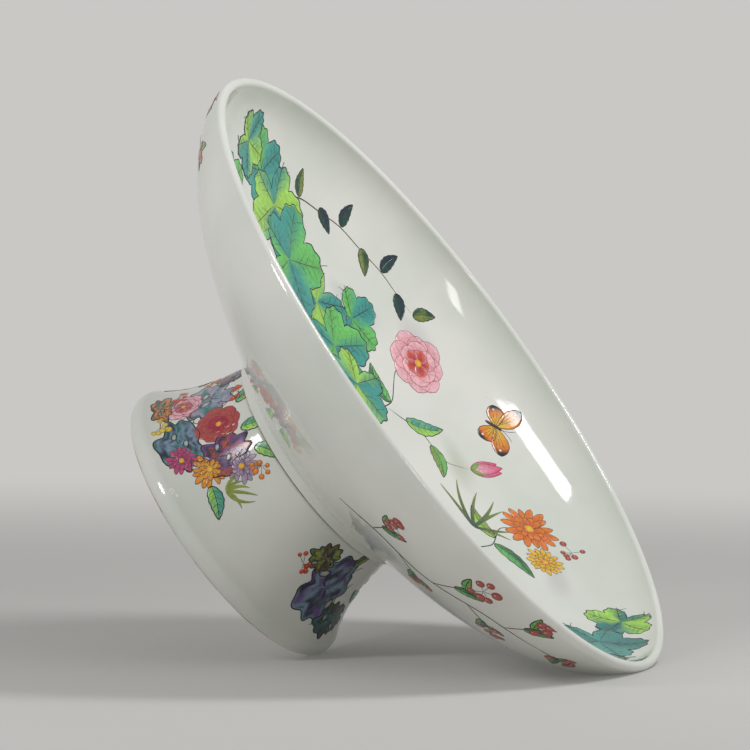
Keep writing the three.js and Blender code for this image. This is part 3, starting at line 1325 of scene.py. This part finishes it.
    def paint_wall(self, enamel: bpy.types.Material) -> bpy.types.Object:
        """Paint three twigs of berries round the outer wall.

        Args:
            enamel: the painting's finish.

        Returns:
            The piece.
        """
        p = FlowerPainter(BandSkin(self.wall, False, self.twig_radius), 23)
        for angle in (-82, 38, 158):
            p.berry_twig(Spot(math.radians(angle) * self.twig_radius, 58, 24), 96)
        return p.mesh("wall_painting", enamel)


@dataclass
class Foot:
    """The hollow foot: its turned body, its bare standing ring and the garden painted round it."""

    sizes: Sizes
    curve_steps: int = 60
    roll_steps: int = 18
    turns: int = 288
    support: float = 0.1
    bare_height: float = 0.75
    middle_radius: float = 57

    @cached_property
    def rolled(self) -> np.ndarray:
        """The rolled lower edge, an arc of an ellipse."""
        s = self.sizes
        return arc(s.roll_centre, s.roll_width, s.roll_height, -math.pi / 2, s.roll_turn, self.roll_steps)

    @property
    def flare_aim(self) -> np.ndarray:
        """The point that the flare aims at where it leaves the roll.

        Returns:
            Its radius and height.
        """
        s = self.sizes
        heading = np.array([-s.roll_width * math.sin(s.roll_turn), s.roll_height * math.cos(s.roll_turn)])
        return self.rolled[-1] + heading / np.linalg.norm(heading) * s.flare_reach

    @cached_property
    def flare(self) -> np.ndarray:
        """Outer wall from the roll up to the neck, one Bezier curve.

        Returns:
            Radius and height of each point.
        """
        s = self.sizes
        waist = (s.neck_radius + s.flare_waist, s.foot_height - s.flare_drop)
        neck = (s.neck_radius, s.foot_height)
        return bend(self.rolled[-1], self.flare_aim, waist, neck, self.curve_steps)

    def bore(self) -> np.ndarray:
        """Inner wall from the top down to the standing ring, one Bezier curve.

        Returns:
            Radius and height of each point.
        """
        s = self.sizes
        aim = self.flare_aim
        inner = s.roll_centre[0] - s.stand_width - s.stand_bevel
        waist = (s.neck_radius + s.flare_waist - s.foot_wall, s.foot_height - s.flare_drop)
        return bend((s.neck_radius - s.foot_wall, s.foot_height), waist, (aim[0] - s.foot_wall, aim[1]),
                    (inner, s.stand_bevel), self.curve_steps)

    def build(self, glaze: bpy.types.Material, biscuit: bpy.types.Material,
              enamel: bpy.types.Material) -> list[bpy.types.Object]:
        """Make the body, which stands for the solid foot, and its painting.

        Args:
            glaze: finish of the body.
            biscuit: finish of its standing ring, where the glaze was wiped off in a wavering line.
            enamel: finish of the painting.

        Returns:
            The pieces.
        """
        s = self.sizes
        inner = s.roll_centre[0] - s.stand_width
        stand = np.array([[inner, 0.0], [inner + self.support, 0.0]])
        profile = np.concatenate([stand, self.rolled, self.flare[1:], self.bore(), stand[:1]])
        body = Turned(profile, self.turns).build("foot_glazed", glaze)
        body.data.materials.append(biscuit)
        centres = np.empty(len(body.data.polygons) * 3)
        body.data.polygons.foreach_get("center", centres)
        centres = centres.reshape(-1, 3) / MM
        angle = np.arctan2(centres[:, 1], centres[:, 0])
        bare = centres[:, 2] < self.bare_height + 0.2 * np.sin(angle * 5) + 0.12 * np.sin(angle * 13 + 1)
        body.data.polygons.foreach_set("material_index", bare.astype(int))
        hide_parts("foot")
        return [body, self.paint(enamel)]

    def paint(self, enamel: bpy.types.Material) -> bpy.types.Object:
        """Paint a garden of rocks and flowers on two sides, and dark rocks on the other two.

        Args:
            enamel: the painting's finish.

        Returns:
            The piece.
        """
        p = FlowerPainter(BandSkin(self.flare, False, self.middle_radius), 31)
        for base in (-128, 52):
            self.garden(p, base)
        for base in (-36, 144):
            p.rock(self.place(base, 24), 32, 36, (Ink.NIGHT, Ink.SLATE, Ink.PURPLE), 2)
            p.rock(self.place(base + 18, 12), 24, 20, (Ink.NIGHT, Ink.TEAL, Ink.BROWN), 2, 0.2)
            p.rock(self.place(base - 14, 34), 16, 16, (Ink.BROWN, Ink.OLIVE, Ink.NIGHT), 1, 0.2)
            p.leaf(self.place(base + 4, 38, 60), 13, 4.5, Ink.OLIVE, Ink.DEEP, 1, 3, 0.3)
            p.berries(self.place(base - 20, 26), 8, 6, 1.2, Ink.CORAL)
        return p.mesh("foot_painting", enamel)

    def place(self, angle: float, height: float, turn: float = 0) -> Spot:
        """A spot on the foot by its angle round it and its height up the flare."""
        return Spot(math.radians(angle) * self.middle_radius, height, turn)

    def garden(self, p: FlowerPainter, base: float) -> None:
        """Rocks with peonies, chrysanthemums, leaves and berries between them.

        Args:
            p: the painting that they go to.
            base: the middle's angle round the foot, in degrees.
        """
        place = self.place
        rocks = ((-26, 28, 30, 28, (Ink.SLATE, Ink.MAUVE, Ink.TEAL)),
                 (-4, 12, 34, 20, (Ink.SLATE, Ink.TEAL, Ink.NIGHT)),
                 (-42, 38, 20, 18, (Ink.BROWN, Ink.PURPLE, Ink.NIGHT)),
                 (10, 28, 20, 26, (Ink.PURPLE, Ink.BRICK, Ink.NIGHT)),
                 (-30, 8, 22, 12, (Ink.BROWN, Ink.ORANGE, Ink.TEAL)))
        for k, (angle, height, width, tall, inks) in enumerate(rocks):
            p.rock(place(base + angle, height), width, tall, inks, 2, 0.06 + 0.03 * k)
        leaves = ((-14, 40, 110), (2, 38, 70), (14, 40, 30), (20, 16, -20), (-50, 22, 160))
        for angle, height, turn in leaves:
            p.leaf(place(base + angle, height, turn), 14, 6, Ink.SPRING, Ink.TURQUOISE, 1, 4, 0.22)
        p.peony(place(base - 6, 30), 10.5, Ink.CRIMSON, Ink.BRICK)
        p.peony(place(base - 27, 17), 9, Ink.BRICK, Ink.BLUSH)
        p.daisy(place(base + 13, 19), 7.5, Ink.YELLOW, Ink.ORANGE)
        p.daisy(place(base + 19, 31), 7, Ink.PURPLE, Ink.MAUVE)
        p.daisy(place(base + 4, 10), 6, Ink.PURPLE, Ink.ROSE)
        p.grass(place(base + 25, 20, 60), 6, 14, 1.4, Ink.OLIVE, 45)
        bunches = ((-46, 30, Ink.ORANGE), (-38, 14, Ink.CORAL), (-16, 6, Ink.YELLOW), (24, 38, Ink.ORANGE),
                   (-20, 42, Ink.CORAL))
        for angle, height, ink in bunches:
            p.berries(place(base + angle, height), 8, 5.5, 1.3, ink)


@dataclass
class Seam:
    """The bed of slip between foot and dish, whose squeezed-out edge is slightly uneven."""

    sizes: Sizes
    turns: int = 288
    bulge: float = 0.18
    waver: float = 0.0012

    def build(self, slip: bpy.types.Material) -> bpy.types.Object:
        """Make a square ring whose outer radius wavers by a sum of three sines.

        Args:
            slip: its finish.

        Returns:
            The piece, which stands for the solid seam.
        """
        s = self.sizes
        outer = s.neck_radius - s.seam_inset
        inner = s.neck_radius - s.foot_wall + s.seam_inset
        low, high = s.foot_height, s.seam_top
        middle = (low + high) / 2
        profile = np.array([[inner, low], [outer, low], [outer + self.bulge, middle], [outer, high],
                            [inner, high], [inner, low]])
        points = Turned(profile, self.turns).points().reshape(len(profile), self.turns, 3)
        a = spokes(self.turns)[0]
        waver = 1 + self.waver * (np.sin(3 * a) + np.sin(7 * a + 1) + np.sin(17 * a + 2))
        points[1:4, :, :2] *= waver[None, :, None]
        faces = grid_faces(len(profile), self.turns, True)
        piece = write_mesh("seam_slip", points.reshape(-1, 3), faces, slip)
        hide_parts("luting_seam")
        return piece


@dataclass(frozen=True)
class Studio:
    """The camera of the photograph, the floor that the tipped plate lies on, and soft light.

    The plate stands upright in its own frame, so the floor and the camera are tipped instead: the
    floor touches the rolled edge of the foot and the lip of the dish.
    """

    sizes: Sizes
    eye: tuple[float, float, float] = (0, -1470.5, 466.2)
    aim: tuple[float, float, float] = (-15.7, 0, 92.3)
    roll: float = math.radians(53.89)
    lens: float = 172.8
    tip_angle: float = math.radians(-8.4)
    floor_span: float = 9000
    glow: tuple[float, float] = (0.12, 1.5)
    least_glow: float = 0.12
    background: str = "#c9c8c5"
    ambient: float = 0.36

    def lean(self) -> float:
        """Angle between the plate's axis and the floor's normal, at which lip and foot both touch.

        Returns:
            The angle in radians, found where the two lowest points are level.
        """
        s = self.sizes
        angles = np.linspace(math.radians(40), math.radians(70), 3001)
        sine, cosine = np.sin(angles), np.cos(angles)
        lip = -s.lip_centre[0] * sine + s.lip_centre[1] * cosine - s.lip_radius
        foot = -s.roll_centre[0] * sine + s.roll_centre[1] * cosine
        foot = foot - np.hypot(s.roll_width * sine, s.roll_height * cosine)
        return float(angles[np.abs(lip - foot).argmin()])

    def floor_normal(self) -> Vector:
        """The way up of the tipped plate, in its own frame."""
        lean, tip = self.lean(), self.tip_angle
        return Vector((-math.sin(lean) * math.cos(tip), -math.sin(lean) * math.sin(tip), math.cos(lean)))

    def camera_axes(self) -> tuple[Vector, Vector, Vector]:
        """Work out how the camera is turned.

        Returns:
            The picture's right, its way up, and the way from the plate to the camera.
        """
        back = (Vector(self.eye) - Vector(self.aim)).normalized()
        level = (-back).cross(Vector((0, 0, 1))).normalized()
        upright = level.cross(-back)
        c, s = math.cos(self.roll), math.sin(self.roll)
        return level * c + upright * s, upright * c - level * s, back

    def camera(self) -> None:
        """Make the scene's camera."""
        data = bpy.data.cameras.new("camera")
        data.lens = self.lens
        data.clip_end = 50
        camera = bpy.data.objects.new("camera", data)
        turn = Matrix(self.camera_axes()).transposed().to_4x4()
        camera.matrix_world = Matrix.Translation(Vector(self.eye) * MM) @ turn
        bpy.context.scene.collection.objects.link(camera)
        bpy.context.scene.camera = camera

    def lamp(self, name: str, way: tuple[float, float, float], distance: float, size: tuple[float, float],
             power: float) -> None:
        """Hang one soft box.

        Args:
            name: its name.
            way: direction from the plate in the picture's right, up and towards the camera.
            distance: in millimetres.
            size: its width and height in millimetres.
            power: in watts.
        """
        right, up, back = self.camera_axes()
        direction = (right * way[0] + up * way[1] + back * way[2]).normalized()
        data = bpy.data.lights.new(name, "AREA")
        data.shape = "RECTANGLE"
        data.size, data.size_y = size[0] * MM, size[1] * MM
        data.energy = power
        light = bpy.data.objects.new(name, data)
        centre = Vector((0, 0, self.sizes.lip_top / 2))
        light.location = (centre + direction * distance) * MM
        light.rotation_mode = "QUATERNION"
        light.rotation_quaternion = direction.to_track_quat("Z", "Y")
        bpy.context.scene.collection.objects.link(light)

    def world(self) -> None:
        """Soft light from all sides, behind which the camera and reflections see the background."""
        world = bpy.data.worlds.new("studio")
        world.use_nodes = True
        tree = world.node_tree
        tree.nodes.clear()
        rays = add_node(tree, "LightPath").outputs
        direct = add_node(tree, "Math", {"operation": "MAXIMUM"}, {
            0: rays["Is Camera Ray"], 1: rays["Is Transmission Ray"]})
        seen = add_node(tree, "Math", {"operation": "MAXIMUM"}, {
            0: direct.outputs["Value"], 1: rays["Is Glossy Ray"]})
        light = add_node(tree, "Background", inputs={"Color": (1, 1, 1, 1), "Strength": self.ambient})
        pale = add_node(tree, "Background", inputs={"Color": rgba(self.background), "Strength": 1.0})
        both = add_node(tree, "MixShader", inputs={
            0: seen.outputs["Value"], 1: light.outputs["Background"], 2: pale.outputs["Background"]})
        output = add_node(tree, "OutputWorld")
        tree.links.new(both.outputs["Shader"], output.inputs["Surface"])
        bpy.context.scene.world = world

    def floor_cloth(self) -> bpy.types.Material:
        """Make the floor's pale cloth, which is clear from below and glows evenly further off.

        Returns:
            The material.
        """
        material, tree, surface = new_material("pale_floor")
        below = add_node(tree, "NewGeometry").outputs["Backfacing"]
        clear = add_node(tree, "BsdfTransparent")
        cloth = add_node(tree, "BsdfDiffuse", inputs={"Color": rgba(self.background)})
        glow = add_node(tree, "Emission", inputs={"Color": rgba(self.background), "Strength": 1.0})
        where = add_node(tree, "TexCoord").outputs["Object"]
        distance = add_node(tree, "VectorMath", {"operation": "LENGTH"}, {0: where})
        far = add_node(tree, "MapRange", {"interpolation_type": "SMOOTHSTEP"}, {
            "Value": distance.outputs["Value"], "From Min": self.glow[0], "From Max": self.glow[1],
            "To Min": self.least_glow})
        lit = add_node(tree, "MixShader", inputs={
            0: far.outputs["Result"], 1: cloth.outputs["BSDF"], 2: glow.outputs["Emission"]})
        shown = add_node(tree, "MixShader", inputs={
            0: below, 1: lit.outputs["Shader"], 2: clear.outputs["BSDF"]})
        tree.links.new(shown.outputs["Shader"], surface)
        return material

    def floor(self) -> None:
        """Lay the floor under the tipped plate, through the lip's lowest point."""
        normal, s, tip = self.floor_normal(), self.sizes, self.tip_angle
        centre = Vector((s.lip_centre[0] * math.cos(tip), s.lip_centre[0] * math.sin(tip), s.lip_centre[1]))
        lowest = centre - normal * s.lip_radius
        half = self.floor_span / 2
        side = normal.cross(Vector((0, 1, 0))).normalized()
        other = normal.cross(side)
        signs = ((-1, -1), (1, -1), (1, 1), (-1, 1))
        corners = [lowest + side * half * a + other * half * b for a, b in signs]
        mesh = bpy.data.meshes.new("floor")
        mesh.from_pydata([tuple(c * MM) for c in corners], [], [(0, 1, 2, 3)])
        if mesh.polygons[0].normal.dot(normal) < 0:
            mesh.flip_normals()
        mesh.materials.append(self.floor_cloth())
        floor = bpy.data.objects.new("floor", mesh)
        bpy.context.scene.collection.objects.link(floor)

    def build(self) -> None:
        """Set up camera, floor and light."""
        bpy.context.scene.view_settings.view_transform = "Standard"
        self.camera()
        self.floor()
        self.world()
        self.lamp("key", (-0.9, 0.75, 0.9), 900, (150, 270), 2.0)
        self.lamp("top", (0.7, 1.0, 0.1), 800, (170, 280), 2.9)
        self.lamp("fill", (1.0, 0.35, 0.8), 1200, (110, 380), 1.1)


def main() -> None:
    """Build the plate and its studio, and report each piece."""
    logging.basicConfig(level=logging.INFO, format="%(name)s: %(message)s")
    sizes = Sizes.of_frame()
    glaze = GlazedPorcelain().build("glazed_porcelain")
    tint = GlazedPorcelain(tinted=True).build("tinted_glaze")
    enamel = OverglazeEnamel().build("overglaze_enamel")
    biscuit = BareCeramic("#d8cbb3", "#bb9169", cloud_mm=5).build("bare_biscuit")
    slip = BareCeramic("#94745a", "#5a3f2c", cloud_mm=6, grit_mm=0.5, roughness=0.6).build("fired_slip")
    Studio(sizes).build()
    pieces = [*Dish(sizes).build(glaze, enamel, tint), *Foot(sizes).build(glaze, biscuit, enamel)]
    seam = Seam(sizes).build(slip)
    for piece in [*pieces, seam]:
        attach(piece, BODY)
        LOG.info("%s: %d faces", piece.name, len(piece.data.polygons))


if __name__ == "__main__":
    main()
